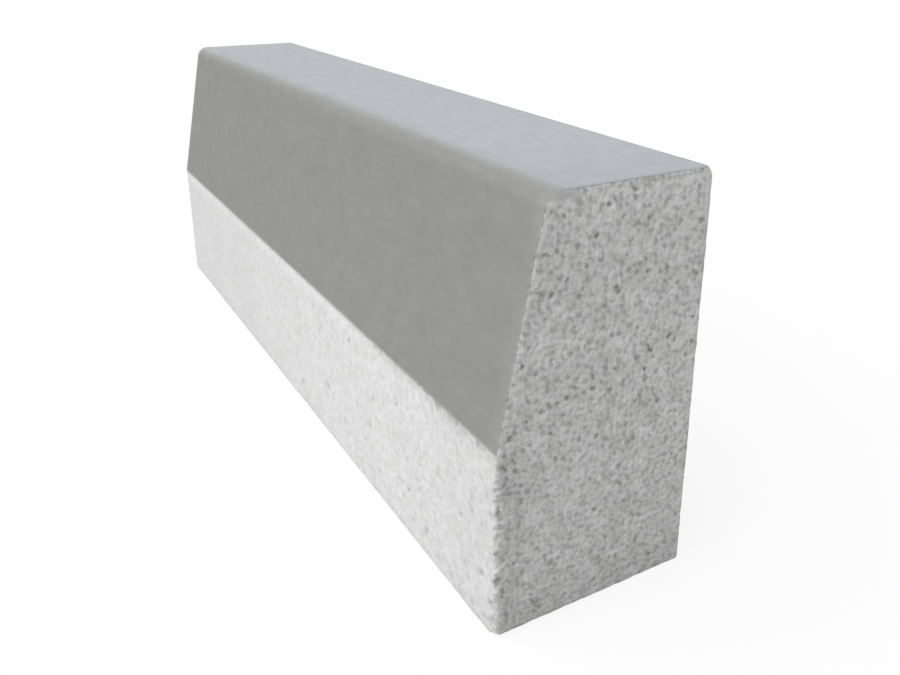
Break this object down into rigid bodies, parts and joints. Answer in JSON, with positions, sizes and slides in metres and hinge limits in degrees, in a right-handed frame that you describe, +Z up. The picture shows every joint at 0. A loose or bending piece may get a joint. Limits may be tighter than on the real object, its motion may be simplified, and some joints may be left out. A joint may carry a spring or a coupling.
{
  "type": "concrete kerb stone",
  "caption": "Precast concrete kerb with an upright lower front, a battered upper front and a rounded top edge, laid end to end along a road or footway.",
  "frame": {"origin": "middle of the base, on the bed", "axes": "+X along the kerb's length; +Y from the front, which faces the road, to the back; +Z up"},
  "size_m": [0.75, 0.15, 0.28],
  "materials": {
    "concrete": "matte"
  },
  "bodies": {
    "root": {"kerb_stone": "concrete"}
  },
  "joints": []
}
